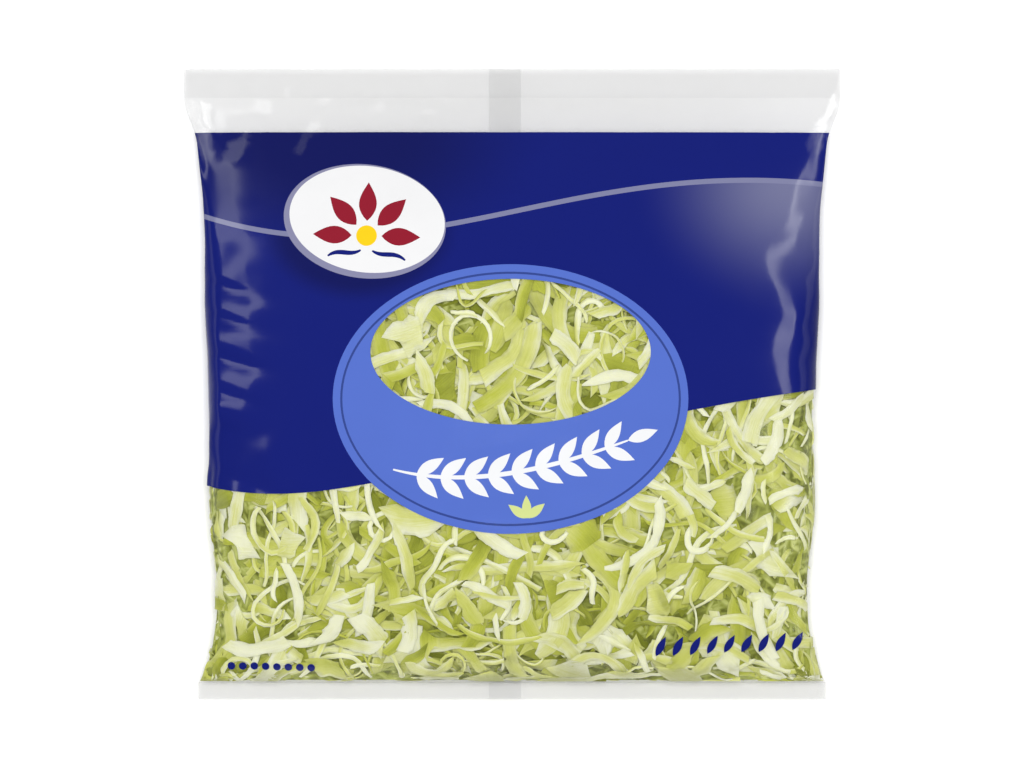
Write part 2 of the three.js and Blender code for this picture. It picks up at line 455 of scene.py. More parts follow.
def badge_leaves():
    x, y = BADGE_BUD["middle"]
    for angle in BADGE_LEAF_ANGLES:
        away = math.radians(angle)
        start = (x + BADGE_LEAF_START * math.cos(away), y + BADGE_LEAF_START * math.sin(away))
        yield leaf(start, angle, **BADGE_LEAF)


def sprig_leaves():
    stem = bezier(SPRIG_STEM, SPRIG_LEAVES + 2)
    ahead = np.degrees(np.arctan2(*np.gradient(stem, axis=0).T[::-1]))
    outlines = []
    for k in range(1, SPRIG_LEAVES + 1):
        for side in (-1, 1):
            outlines.append(leaf(stem[k], ahead[k] + side * SPRIG_SPREAD, **SPRIG_LEAF))
    outlines.append(leaf(stem[-1], ahead[-1], **SPRIG_LEAF))
    return outlines


field_edge = band_edge(FIELD_EDGE)
line_low = band_edge(LINE, -LINE_WIDTH / 2)
line_high = band_edge(LINE, LINE_WIDTH / 2)


def above(edge, top):
    """The outline of everything over the tube from a band's edge up to y = top."""
    return np.concatenate([edge, [[3, top], [-1, top]]])


# What is painted, in painting order. A later outline covers an earlier one.
PAINTED = [
    ("lower_print", above(field_edge, PRINT_TOP)),
    ("line_print", above(line_low, PRINT_TOP)),
    ("upper_print", above(line_high, PRINT_TOP)),
    ("badge_rim", oval(**BADGE_RIM)),
    ("badge_face", oval(**BADGE)),
    *(("badge_leaf", outline) for outline in badge_leaves()),
    ("badge_bud", oval(**BADGE_BUD, steps=40)),
    *(("badge_stalk", stroke(points, BADGE_STALK_WIDTH)) for points in BADGE_STALKS),
    ("medal", oval(**MEDAL)),
    ("medal_line", oval(**MEDAL_LINE)),
    ("medal", oval(**IN_MEDAL_LINE)),
    ("clear_film", oval(**WINDOW)),
    ("sprig", stroke(SPRIG_STEM, SPRIG_STEM_WIDTH)),
    *(("sprig", outline) for outline in sprig_leaves()),
    *(("small_leaf", leaf(SMALL_LEAF_ROOT, angle, **SMALL_LEAF)) for angle in SMALL_LEAF_ANGLES),
    *(("foot_print", outline) for outline in foot_marks()),
]
LEVELS = (BOTTOM_END, BOTTOM_ROOT, PRINT_TOP, TOP_ROOT, TOP_END)  # straight lines right round the tube


def inside(outline, places):
    """Whether each place lies in a closed outline, by counting crossings."""
    x, y = places[:, 0], places[:, 1]
    result = np.zeros(len(places), bool)
    for (x0, y0), (x1, y1) in zip(outline, np.roll(outline, -1, axis=0)):
        if y0 != y1:
            crossed = (y0 > y) != (y1 > y)
            result ^= crossed & (x < (x1 - x0) * (y - y0) / (y1 - y0) + x0)
    return result


# ---------------------------------------------------------------- making meshes
def new_mesh(name, vertices, faces, normals=None):
    """A piece from points in millimetres. faces is an array of triangles or of quads."""
    mesh = bpy.data.meshes.new(name)
    corners = faces.shape[1]
    mesh.vertices.add(len(vertices))
    mesh.vertices.foreach_set("co", (vertices * METRE).astype(np.float32).ravel())
    mesh.loops.add(faces.size)
    mesh.loops.foreach_set("vertex_index", faces.astype(np.int32).ravel())
    mesh.polygons.add(len(faces))
    mesh.polygons.foreach_set("loop_start", np.arange(0, faces.size, corners, dtype=np.int32))
    mesh.polygons.foreach_set("use_smooth", np.ones(len(faces), bool))
    mesh.update(calc_edges=True)
    mesh.validate()
    if normals is not None:
        mesh.normals_split_custom_set_from_vertices(normals.tolist())
    piece = bpy.data.objects.new(name, mesh)
    bpy.context.scene.collection.objects.link(piece)
    return piece


def tube_faces(index):
    """Quads between neighbouring closed rings of points, from their numbers as (..., ring, place in it)."""
    a, b = index[..., :-1, :], index[..., 1:, :]
    return np.stack([a, np.roll(a, -1, axis=-1), np.roll(b, -1, axis=-1), b], axis=-1).reshape(-1, 4)


def add_piece(piece, material):
    piece.data.materials.append(material)
    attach(piece, "root")
    return piece


# ---------------------------------------------------------------- the film, cut along the print's outlines
FILM_STEP = 1.7  # millimetres between the points of the film's grid
CLEARANCE = 0.45  # grid points nearer than this to an outline are left out
BIN = 2  # millimetres, to look up which outline points are near
MERGED = 1e-5  # points nearer than this are one


def lay_out_film():
    """Triangles over the whole tube, with every painted outline as edges: (places, triangles)."""
    points, edges = [], []

    def add_line(places, closed):
        start = len(points)
        points.extend(map(tuple, places))
        count = len(places)
        edges.extend((start + k, start + (k + 1) % count) for k in range(count if closed else count - 1))

    scale = np.array([TURN_LENGTH, 1])
    for _, outline in PAINTED:
        if len(outline) < len(field_edge):  # the longer ones are bands, whose own edges follow
            add_line(outline * scale, True)
    for band in (field_edge, line_low, line_high):
        add_line(band * scale, False)
    around = np.linspace(-1, 3, round(4 * TURN_LENGTH / FILM_STEP) + 1) * TURN_LENGTH
    for y in LEVELS:
        add_line(np.stack([around, np.full(len(around), y)], axis=1), False)

    rows = [
        np.linspace(a, b, max(round((b - a) / FILM_STEP), 3) + 1)[1:-1] for a, b in zip(LEVELS, LEVELS[1:])
    ]
    grid = np.stack(np.meshgrid(around, np.concatenate(rows), indexing="ij"), axis=-1)
    stagger = FILM_STEP / 2 * (np.arange(grid.shape[1]) % 2)
    grid[1:-1, :, 0] += stagger[None] - FILM_STEP / 4
    bins = {}
    for x, y in points:
        bins.setdefault((int(x // BIN), int(y // BIN)), []).append((x, y))
    for x, y in grid.reshape(-1, 2):
        column, row = int(x // BIN), int(y // BIN)
        near = (p for i in (-1, 0, 1) for j in (-1, 0, 1) for p in bins.get((column + i, row + j), ()))
        if all((x - u) ** 2 + (y - v) ** 2 > CLEARANCE**2 for u, v in near):
            points.append((x, y))
    places, _, triangles, *_ = delaunay_2d_cdt([Vector(p) for p in points], edges, [], 0, MERGED)
    places = np.array([tuple(p) for p in places]) / scale
    return places, np.array([t for t in triangles if len(t) == 3])


places, triangles = lay_out_film()
film_points, film_normals = skin.at(places[:, 0], places[:, 1])
middles = places[triangles].mean(axis=1)
region = np.full(len(triangles), "clear_film", dtype=object)
region[middles[:, 1] > PRINT_TOP] = "header_film"
region[middles[:, 1] > TOP_ROOT] = "top_seal"
region[middles[:, 1] < BOTTOM_ROOT] = "bottom_seal"
for name, outline in PAINTED:
    region[inside(outline, middles)] = name


def film_piece(name):
    chosen = triangles[region == name]
    used, faces = np.unique(chosen, return_inverse=True)
    return new_mesh(name, film_points[used], faces.reshape(-1, 3), film_normals[used])


# ---------------------------------------------------------------- materials
class Material:
    """A node material, with short ways to add and join nodes."""

    def __init__(self, name):
        self.material = bpy.data.materials.new(name)
        self.material.use_nodes = True
        self.tree = self.material.node_tree
        self.tree.nodes.clear()
        self.output = self.tree.nodes.new("ShaderNodeOutputMaterial")

    def node(self, kind, settings=None, **inputs):
        node = self.tree.nodes.new("ShaderNode" + kind)
        for key, value in (settings or {}).items():
            setattr(node, key, value)
        for key, value in inputs.items():
            self.set(node, key, value)
        return node

    def set(self, node, key, value):
        name = key.replace("_", " ")
        socket = node.inputs[int(key[1:])] if key[1:].isdigit() else node.inputs[name]
        if isinstance(value, bpy.types.NodeSocket):
            self.tree.links.new(value, socket)
        else:
            socket.default_value = value

    def math(self, operation, a, b=0.0, c=0.0, clamp=False):
        settings = {"operation": operation, "use_clamp": clamp}
        return self.node("Math", settings, i0=a, i1=b, i2=c).outputs[0]

    def place(self):
        """The object's own coordinates, in metres."""
        return self.node("TexCoord").outputs["Object"]

    def noise(self, vector, scale, detail=2.0, roughness=0.5):
        inputs = dict(Vector=vector, Scale=scale, Detail=detail, Roughness=roughness)
        return self.node("TexNoise", **inputs).outputs["Fac"]

    def vary(self, low, high, *noise):
        """A value between low and high, which noise moves from place to place."""
        return self.math("MULTIPLY_ADD", self.noise(self.place(), *noise), high - low, low)

    def mix(self, factor, a, b, blend="MIX"):
        node = self.node("Mix", {"data_type": "RGBA", "blend_type": blend})
        self.set(node, "i0", factor)
        self.set(node, "i6", a)
        self.set(node, "i7", b)
        return node.outputs[2]

    def ramp(self, factor, stops):
        node = self.node("ValToRGB", Fac=factor)
        elements = node.color_ramp.elements
        while len(elements) < len(stops):
            elements.new(0.5)
        for element, (place, colour) in zip(elements, stops):
            element.position, element.color = place, colour
        return node.outputs[0]

    def finish(self, shader):
        self.tree.links.new(shader, self.output.inputs["Surface"])
        return self.material


def srgb(*screen):
    """A colour given as red, green and blue on a screen, 0 to 255."""
    shares = [level / 255 for level in screen]
    return (*(c / 12.92 if c <= 0.04045 else ((c + 0.055) / 1.055) ** 2.4 for c in shares), 1.0)


def film_bump(m):
    """The faint unevenness of thin film."""
    fine = m.noise(m.place(), 70, 1.0, 0.4)
    return m.node("Bump", Strength=0.2, Distance=0.0004, Height=fine).outputs[0]


def spot(m, middle, radii, soft=1.0, tilt=0.0, place=None):
    """1 in the middle of an oval patch on the bag, fading to 0 at its rim."""
    local = m.node(
        "Mapping",
        {"vector_type": "TEXTURE"},
        Vector=place or m.place(),
        Location=(middle[0] * METRE, middle[1] * METRE, 0),
        Rotation=(0, 0, math.radians(tilt)),
        Scale=(radii[0] * METRE, radii[1] * METRE, 1e3),  # so the height doesn't count
    ).outputs[0]
    reach = m.node("VectorMath", {"operation": "LENGTH"}, i0=local).outputs["Value"]
    settings = {"interpolation_type": "SMOOTHSTEP"}
    return m.node("MapRange", settings, i0=reach, i1=1.0 - soft, i2=1.0, i3=1.0, i4=0.0).outputs[0]


# Small facets of the creased film near the top seal, which face a highlight light:
# (middle, radii, tilt, how much they mirror).
FACETS = [
    ((-107.3, 94.5), (8.5, 2.4), 107, 0.035),
    ((-111.1, 95.2), (8.0, 2.8), 107, 0.022),
    ((-102.0, 92.0), (5.5, 2.4), 75, 0.02),
    ((-97.0, 95.2), (8.0, 1.6), 0, 0.012),
    ((-87.6, 96.9), (6.5, 4.0), -12, 0.024),
    ((-79.6, 101.9), (2.2, 3.0), 0, 0.015),
    ((-65.6, 99.4), (3.6, 1.6), 5, 0.018),
    ((-46.3, 96.9), (3.2, 2.4), 30, 0.018),
    ((-29.5, 95.2), (3.4, 1.8), 10, 0.018),
    ((-23.5, 99.4), (3.8, 1.5), 5, 0.012),
    ((-69.4, 89.6), (5.6, 2.6), 50, 0.022),
    ((-73.3, 83.6), (5.5, 3.0), 60, 0.012),
    ((-96.5, 82.0), (9.0, 3.6), 55, 0.03),
    ((-107.6, 83.6), (9.0, 3.0), 105, 0.03),
    ((111.8, 96.6), (7.5, 1.7), 65, 0.035),
    ((108.3, 90.3), (5.5, 3.0), 60, 0.035),
    ((106.2, 85.4), (6.5, 3.4), 80, 0.03),
]
FACET_RAGGED = 0.008  # metres by which noise shifts a facet's rim
FACET_SOFT, FACET_ROUGHNESS = 0.6, 0.2
CLEAR_GAIN = 2.8  # how much more the facets mirror in clear film than on print
LEFT_FACING, RIGHT_FACING = (-0.359, 0.202, 0.911), (0.395, 0.044, 0.917)


def with_facets(m, body, gain=1.0):
    """Adds the small facets' gloss to a shader, multiplied by gain."""
    jitter = m.node("TexNoise", Vector=m.place(), Scale=160, Detail=3.0).outputs["Color"]
    settings, shift = {"operation": "MULTIPLY_ADD"}, (-FACET_RAGGED / 2,) * 3
    offset = m.node("VectorMath", settings, i0=jitter, i1=(FACET_RAGGED,) * 3, i2=shift).outputs[0]
    place = m.node("VectorMath", {"operation": "ADD"}, i0=m.place(), i1=offset).outputs[0]
    total = 0.0
    for middle, radii, tilt, strength in FACETS:
        mask = spot(m, middle, radii, FACET_SOFT, tilt, place)
        total = m.math("MAXIMUM", m.math("MULTIPLY", mask, strength * gain), total)
    right = m.math("GREATER_THAN", m.node("SeparateXYZ", Vector=m.place()).outputs["X"], 0.0)
    facing = m.node("Mix", {"data_type": "VECTOR"}, i0=right, i4=LEFT_FACING, i5=RIGHT_FACING)
    gloss = m.node("BsdfGlossy", Color=(1, 1, 1, 1), Roughness=FACET_ROUGHNESS, Normal=facing.outputs[1])
    return m.node("MixShader", i0=total, i1=body, i2=gloss.outputs[0]).outputs[0]


FILM_ROUGHNESS, FILM_IOR = 0.16, 1.45


def clear_film(name, haze, grey, tint, shine=0.1, facets=False):
    """Thin clear film: it lets light through, with a little haze, and shines by its angle.

    Shine is the most that it mirrors, because so thin a film is no pane, even seen from the side.
    """
    m = Material(name)
    bump = film_bump(m)
    through = m.node("BsdfTransparent", Color=(tint, tint, tint, 1))
    milk = m.node("BsdfDiffuse", Color=(grey, grey, grey, 1), Normal=bump)
    patch = m.vary(0.85 * haze, 1.15 * haze, 30)
    body = m.node("MixShader", i0=patch, i1=through.outputs[0], i2=milk.outputs[0])
    gloss = m.node("BsdfGlossy", Color=(1, 1, 1, 1), Roughness=FILM_ROUGHNESS, Normal=bump)
    angle = m.math("MINIMUM", m.node("Fresnel", IOR=FILM_IOR, Normal=bump).outputs[0], shine)
    shader = m.node("MixShader", i0=angle, i1=body.outputs[0], i2=gloss.outputs[0]).outputs[0]
    return m.finish(with_facets(m, shader, CLEAR_GAIN) if facets else shader)


PRINT_SHINE = (0.45, 0.02)  # where the print is seen straight on, and where it leans away
PRINT_LEANS = (0.15, 0.45)  # its facing, between which the shine falls from the first to the second
PRINT_ROUGHNESS = (0.11, 0.19)


def printed(name, colour, paint=None, facets=False):
    """Gloss print on film. paint(m, colour) may shade the colour by place."""
    m = Material(name)
    mottle = m.vary(0.97, 1.03, 55, 4.0, 0.6)
    grey = m.node("CombineColor", Red=mottle, Green=mottle, Blue=mottle).outputs[0]
    base = m.mix(1.0, colour, grey, "MULTIPLY")
    if paint:
        base = paint(m, base)
    facing = m.node("LayerWeight", Blend=0.5).outputs["Facing"]
    (straight, leaning), (full, least) = PRINT_LEANS, PRINT_SHINE
    shine = m.node("MapRange", i0=facing, i1=straight, i2=leaning, i3=full, i4=least).outputs[0]
    rough = m.vary(*PRINT_ROUGHNESS, 90)
    shader = m.node("BsdfPrincipled", Base_Color=base, Roughness=rough, Normal=film_bump(m))
    m.set(shader, "Specular_IOR_Level", shine)
    return m.finish(with_facets(m, shader.outputs[0]) if facets else shader.outputs[0])


# DEEP_NAVY darkens the print at the upper left, and lower down it is painted shade and a painted shadow.
NAVY, DEEP_NAVY = srgb(13, 25, 111), srgb(11, 18, 86)
# Painted reflection: the print pales towards this colour at the upper right, as if the film mirrored a light
# there, and fades by the falloff's power.
PAINTED_REFLECTION = srgb(109, 111, 146)
PAINTED_REFLECTION_FALLOFF = 1.5


def upper_shading(m, base):
    """The print is darker at the upper left."""
    return m.mix(spot(m, (-62, 86), (78, 46), 0.7), base, DEEP_NAVY)


def lower_painted_light(m, base):
    """Painted light on the print: a painted shadow of the badge left of the middle, painted shade at its
    right edge, and a painted reflection that pales it at the upper right.
    """
    # Painted shadow of the badge: the navy darkens below and left of it.
    base = m.mix(spot(m, (-53, 54), (36, 27), 0.3), base, DEEP_NAVY)
    # Painted shade along the right edge, where the film turns away.
    base = m.mix(spot(m, (112, 10), (14, 60)), base, DEEP_NAVY)
    # Painted reflection of a light at the upper right.
    return m.mix(m.math("POWER", spot(m, (95.7, 69.6), (58, 50)), PAINTED_REFLECTION_FALLOFF), base, PAINTED_REFLECTION)


BLOTCHES, FIBRES = 0.15, 0.18  # how far they move a shred's tint
LEAF_GLOW, GLOW_COLOURS, GLOW_DEPTH = 0.35, (1.0, 1.0, 0.45), 0.0016  # light that goes through a leaf
LEAF_SHINE, LEAF_ROUGHNESS = 0.35, 0.4


def cabbage(name, stops):
    """Raw cabbage: colour by each shred's tint, with blotches, and fine fibres along it."""
    m = Material(name)
    tint = m.node("Attribute", {"attribute_name": "tint"}).outputs["Fac"]
    grain = m.node("Attribute", {"attribute_name": "grain"}).outputs["Vector"]
    fibres = m.noise(grain, 1.0, 3.0, 0.65)
    shade = m.math("ADD", tint, m.vary(-BLOTCHES, BLOTCHES, 160))
    shade = m.math("ADD", shade, m.math("MULTIPLY_ADD", fibres, 2 * FIBRES, -FIBRES), clamp=True)
    base = m.ramp(shade, stops)
    bump = m.node("Bump", Strength=0.5, Distance=0.0003, Height=fibres).outputs[0]
    gloss = dict(Roughness=LEAF_ROUGHNESS, Specular_IOR_Level=LEAF_SHINE, Normal=bump)
    glow = dict(Subsurface_Weight=LEAF_GLOW, Subsurface_Radius=GLOW_COLOURS, Subsurface_Scale=GLOW_DEPTH)
    return m.finish(m.node("BsdfPrincipled", Base_Color=base, **gloss, **glow).outputs[0])


LEAF_STOPS = [
    (0.0, srgb(236, 238, 198)),
    (0.3, srgb(208, 211, 124)),
    (0.62, srgb(181, 187, 68)),
    (1.0, srgb(128, 136, 30)),
]

film_material = clear_film("film", 0.01, 0.85, 0.995, shine=0.022)
header_material = clear_film("header_film", 0.12, 0.95, 0.969, facets=True)
top_seal_material = clear_film("top_seal_film", 0.12, 0.9, 0.943, facets=True)
bottom_seal_material = clear_film("bottom_seal_film", 0.12, 0.98, 0.946)
seam_material = clear_film("seam_film", 0.01, 0.8, 0.98)
leaf_material = cabbage("leaf", LEAF_STOPS)

PIECES = {
    "clear_film": ("clear_film", film_material),
    "header_film": ("clear_film", header_material),
    "top_seal": ("clear_film", top_seal_material),
    "bottom_seal": ("clear_film", bottom_seal_material),
    "upper_print": ("dark_blue_print", printed("upper_print", NAVY, upper_shading, facets=True)),
    "lower_print": ("dark_blue_print", printed("lower_print", NAVY, lower_painted_light)),
    "line_print": ("lilac_print", printed("line_print", srgb(121, 123, 156))),
    "badge_rim": ("lilac_print", printed("badge_rim", srgb(131, 131, 161))),
    "badge_face": ("white_print", printed("badge_face", srgb(229, 229, 230))),
    "badge_leaf": (None, printed("badge_leaf", srgb(140, 25, 44))),
    "badge_bud": (None, printed("badge_bud", srgb(240, 200, 24))),
    "badge_stalk": ("dark_blue_print", printed("badge_stalk", NAVY)),
    "foot_print": ("dark_blue_print", printed("foot_print", NAVY)),
    "medal": ("mid_blue_print", printed("medal", srgb(81, 107, 193))),
    "medal_line": ("dark_blue_print", printed("medal_line", srgb(50, 68, 136))),
    "sprig": ("white_print", printed("sprig", srgb(228, 229, 231))),
    "small_leaf": ("cabbage_leaf", printed("small_leaf", srgb(202, 212, 138))),
}
for name, (slot, material) in PIECES.items():
    piece = add_piece(film_piece(name), material)
    if name == "clear_film":
        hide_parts("slaw_bag")


# ---------------------------------------------------------------- the back seam
SEAM_FOLD = 0.25  # thickness of the fold
SEAM_LIFT = 0.05  # it stays this far under the back film
SEAM_STEP, SEAM_COLUMNS = 1.5, 9  # millimetres between its rows of points, and points across it


def back_seam(name, low, high):
    """A flat fold of film under the middle of the back, from y = low to y = high."""
    ys = np.linspace(low, high, round((high - low) / SEAM_STEP) + 1)[:, None]
    x = SEAM_MIDDLE + np.linspace(1, -1, SEAM_COLUMNS) * SEAM_WIDTH / 2
    turns = 2 - turn_of(x, ys)
    top, _ = skin.at(turns, np.broadcast_to(ys, turns.shape))
    top = top - [0, 0, SEAM_LIFT]
    under = top - [0, 0, SEAM_FOLD]
    points = np.concatenate([top, under[:, ::-1]], axis=1)
    index = np.arange(points.size // 3).reshape(points.shape[:2])
    faces = [tube_faces(index)]
    for ring, flip in ((index[0], 1), (index[-1], -1)):
        for k in range(SEAM_COLUMNS - 1):
            faces.append([ring[[k, -1 - k, -2 - k, k + 1]][::flip]])
    piece = new_mesh(name, points.reshape(-1, 3), np.concatenate(faces))
    piece.data.set_sharp_from_angle(angle=math.radians(40))
    return piece


SEAM_FIELD_EDGE = float(np.interp(2, field_edge[:, 0], field_edge[:, 1]))
add_piece(back_seam("seam_header", PRINT_TOP, TOP_END), seam_material)
add_piece(back_seam("seam_print", SEAM_FIELD_EDGE, PRINT_TOP), printed("seam_print", NAVY))
add_piece(back_seam("seam_foot", BOTTOM_END, SEAM_FIELD_EDGE), seam_material)

# ---------------------------------------------------------------- the contents
CORE_DEPTH = 8.0  # how far it lies under the front and the back
CORE_FLOOR = FLOOR_GAP + 5.6  # the least height of its underside
CORE_INSET = 1.2  # how far inside the side edges it stops
CORE_ENDS = (-103.6, 72.0)
CORE_CLOSING = 9.0  # millimetres over which it closes at each end
CORE_BUMP, CORE_BUMP_SIZE = 0.9, 9
CORE_ROWS, CORE_COLUMNS = 96, 132


def core():
    """The middle of the heap, which only shows between the shreds."""
    ys = np.linspace(*CORE_ENDS, CORE_ROWS)[:, None]
    turns = np.linspace(-1, 3, CORE_COLUMNS, endpoint=False)[None]
    across, inwards = across_at(turns), np.cos(math.pi / 2 * turns)
    filled = fullness(ys)
    from_end = np.minimum(ys - CORE_ENDS[0], CORE_ENDS[1] - ys)
    closing = np.sqrt(np.clip(from_end / CORE_CLOSING, 0.02, 1))
    rise = (RISE * filled - CORE_DEPTH) * inwards * closing
    back = (1 - np.abs(across) ** BACK_FLATNESS) ** (1 / BACK_FLATNESS)
    drop = (DROP * filled - CORE_DEPTH) * back * closing
    bump = ripples(turns, ys, CORE_BUMP_SIZE, 31) * CORE_BUMP * closing
    z = edge_height(ys) + np.where(inwards > 0, rise + bump, -drop - bump)
    x = (half_width(ys) - CORE_INSET) * across
    points = np.stack([x, ys + 0 * x, np.maximum(z, CORE_FLOOR)], axis=-1)
    index = np.arange(CORE_ROWS * CORE_COLUMNS).reshape(CORE_ROWS, CORE_COLUMNS)
    sides = tube_faces(index)
    ends = []
    for middle, row, flip in ((index.size, 0, -1), (index.size + 1, -1, 1)):
        ends += [[middle, p, q][::flip] for p, q in zip(index[row], np.roll(index[row], -1))]
    vertices = np.concatenate([points.reshape(-1, 3), points[[0, -1]].mean(axis=1)])
    faces = np.concatenate([sides[:, [0, 1, 2]], sides[:, [0, 2, 3]], np.array(ends)])
    return new_mesh("slaw_core", vertices, faces)


STREAK_LENGTH, STREAK_WIDTH = 0.02, 0.0026  # metres
STREAK_ANGLES = (20, 80, 140)
# The core's colours are darker than the shreds': painted shade for the depth of the heap.
CORE_SHADE_STOPS = [
    (0.46, srgb(100, 106, 30)),
    (0.58, srgb(146, 154, 64)),
    (0.72, srgb(190, 196, 116)),
]


def core_material():
    """Crossing streaks, like the shreds that lie deeper, in darker colours that are painted shade."""
    m = Material("core")
    streaks = 0.0
    scale = STREAK_LENGTH, STREAK_WIDTH, STREAK_WIDTH
    for angle in STREAK_ANGLES:
        turn = (0, 0, math.radians(angle))
        settings = {"vector_type": "TEXTURE"}
        place = m.node("Mapping", settings, Vector=m.place(), Rotation=turn, Scale=scale).outputs[0]
        streaks = m.math("MAXIMUM", m.noise(place, 1.0, 1.0), streaks)
    base = m.ramp(streaks, CORE_SHADE_STOPS)
    bump = m.node("Bump", Strength=0.6, Distance=0.001, Height=streaks).outputs[0]
    shader = m.node("BsdfPrincipled", Base_Color=base, Roughness=0.6, Normal=bump)
    return m.finish(shader.outputs[0])


add_piece(core(), core_material())


FILM_GAP = 0.3  # no point of a shred is nearer to the film than this
LEAST_UP = 0.3  # how far up the film's normal is taken to point at least, where the film is steep
CONTENTS_END = 87.0  # no shred reaches higher
MIDDLES = (BOTTOM_ROOT + 1.5, 79.0)  # the lowest and the highest y of a shred's middle
PATH_ENDS = (BOTTOM_ROOT + FILM_GAP, 83.0)  # where a shred that runs too far turns back
FOOT_HEIGHT = 10.0  # above the bottom seal, where the shreds lie closer together
FOOT_SHARE = 0.06  # of the shreds that are laid there besides
SIDE_SHARE = 0.05  # of the rest that lies about the side edges
SIDE_SPREAD = 0.07  # their spread about the edges, in turn
BACK_SHARE = 0.45  # of the shreds that would fill the back as densely as the front
BACK_TURNS = (1.15, 2.85)
SETTLING, SETTLING_SPAN = 1.5, 15.0  # the shreds near the bottom seal have slid this far into the corner
BEHIND_PRINT = 13.0  # millimetres that the shreds go on behind the edges of the print
TOP_SHOWN = 66.0  # above it, the heap's end can be seen from the side through the clear film
SHORTENED = (0.6, 1.0, 1.0)  # one shred in three is shorter
TIGHTEST = 0.25  # half a shred's width, as a share of the radius of its tightest sideways bend
SWAY_TURN = 3.0  # radians that a shred's sway goes through from its middle to an end


def shown(turn, y):
    """Whether a shred at a place on the film can be seen through it."""
    edge = np.interp((turn + 1) % 4 - 1, field_edge[:, 0], field_edge[:, 1])
    front = (turn + 1) % 4 < 2
    x = half_width(y) * across_at(turn)
    (cx, cy), (rx, ry) = WINDOW["middle"], WINDOW["radii"]
    in_window = ((x - cx) / (rx + BEHIND_PRINT)) ** 2 + ((y - cy) / (ry + BEHIND_PRINT)) ** 2 < 1
    return (y < edge + BEHIND_PRINT) | (front & in_window) | (y > TOP_SHOWN)


def press_inside(points, gap):
    """Presses points that would stick out through the film flat against its inside."""
    y = np.clip(points[..., 1], BOTTOM_ROOT + gap, CONTENTS_END)
    reach = half_width(y) - gap
    x = np.clip(points[..., 0], -reach, reach)
    turn = turn_of(x, y)
    limits = []
    for place in (turn, 2 - turn):
        surface, normals = skin.at(place, y)
        up = normals[..., 2]
        limits.append(surface[..., 2] - np.sign(up) * gap / np.maximum(np.abs(up), LEAST_UP))
    ceiling, ground = limits
    middle = (ceiling + ground) / 2
    z = np.clip(points[..., 2], np.minimum(ground, middle), np.maximum(ceiling, middle))
    return np.stack([x, y, z], axis=-1)


def draw_paths(rng, spec):
    """Shreds that may be laid: their centre lines on the film, lengths and half widths."""
    count, rings = spec["tries"], spec["rings"]  # rings is odd, so one is at the middle
    foot, batch = round(FOOT_SHARE * count), 4 * count
    turns, ys = rng.uniform(-1, 1, foot), rng.uniform(MIDDLES[0], BOTTOM_ROOT + FOOT_HEIGHT, foot)
    while len(turns) < count:
        turn, y = rng.uniform(-1, 3, batch), rng.uniform(*MIDDLES, batch)
        at_side = rng.choice([-1, 1], batch) + rng.normal(0, SIDE_SPREAD, batch)
        turn = np.where(rng.random(batch) < SIDE_SHARE, at_side, turn)
        back = (turn % 4 > BACK_TURNS[0]) & (turn % 4 < BACK_TURNS[1])
        kept = shown(turn, y) & (~back | (rng.random(batch) < BACK_SHARE))
        turns, ys = np.append(turns, turn[kept]), np.append(ys, y[kept])
    turns, ys = turns[:count], ys[:count]
    length = rng.uniform(*spec["length"], count) * rng.choice(SHORTENED, count)
    step = length / (rings - 1)
    heading = rng.uniform(0, 2 * math.pi, count)
    curl, sway = (rng.normal(0, spec["curl"], count) for _ in range(2))
    phase = rng.uniform(0, 2 * math.pi, count)
    width = rng.uniform(*spec["width"], count) / 2
    half = rings // 2
    path_turn, path_y = np.zeros((count, rings)), np.zeros((count, rings))
    path_turn[:, half], path_y[:, half] = turns, ys
    for way in (1, -1):
        turn, y, angle = turns, ys, heading
        for k in range(1, half + 1):
            bend = curl + sway * np.cos(phase + way * k / half * SWAY_TURN)
            bend = np.clip(bend, -TIGHTEST / width, TIGHTEST / width)
            angle = angle + way * bend * step
            around, along = smooth_skin.stretch(turn, y)
            turn = turn + way * np.cos(angle) * step / around
            y = y + way * np.sin(angle) * step / along
            angle = np.where((y < PATH_ENDS[0]) | (y > PATH_ENDS[1]), -angle, angle)
            y = np.clip(y, *PATH_ENDS)
            path_turn[:, half + way * k], path_y[:, half + way * k] = turn, y
    return path_turn, path_y, length, width


def unit(vectors):
    return vectors / (np.linalg.norm(vectors, axis=-1, keepdims=True) + 1e-9)


CELL = 1.2  # millimetres between the places at which the heap's top is followed
FINE = 3  # steps of a footprint for each step of a shred
EVENED = 5  # neighbouring places over which a shred's depth is averaged
AIR = 0.04  # left between a shred and what it lies on
TILT_EASE = 0.15  # how much of the difference between a shred's two edges lifts them both
CROWDED = 0.12  # a shred isn't laid if the film would press down more than this share of it
ROOM = 0.4  # how far inside the film a shred's edges stay
LIMP = 12  # the first shreds, deep in the heap, sag this many times as much as the last ones


def footprints(turn, y, width, rings):
    """The places under each shred, as (shred, along, across)."""
    fine = np.linspace(0, rings - 1, FINE * (rings - 1) + 1)
    k = np.minimum(fine.astype(int), rings - 2)
    turn, y = (path[:, k] + (path[:, k + 1] - path[:, k]) * (fine - k) for path in (turn, y))
    around, along = smooth_skin.stretch(turn, y)
    ahead = unit(np.stack([np.gradient(turn, axis=1) * around, np.gradient(y, axis=1) * along], axis=-1))
    offset = width[:, None, None] * np.linspace(-1, 1, 2 * math.ceil(width.max() / CELL) + 1)
    turn = turn[..., None] - (ahead[..., 1] / around)[..., None] * offset
    return turn, y[..., None] + (ahead[..., 0] / along)[..., None] * offset


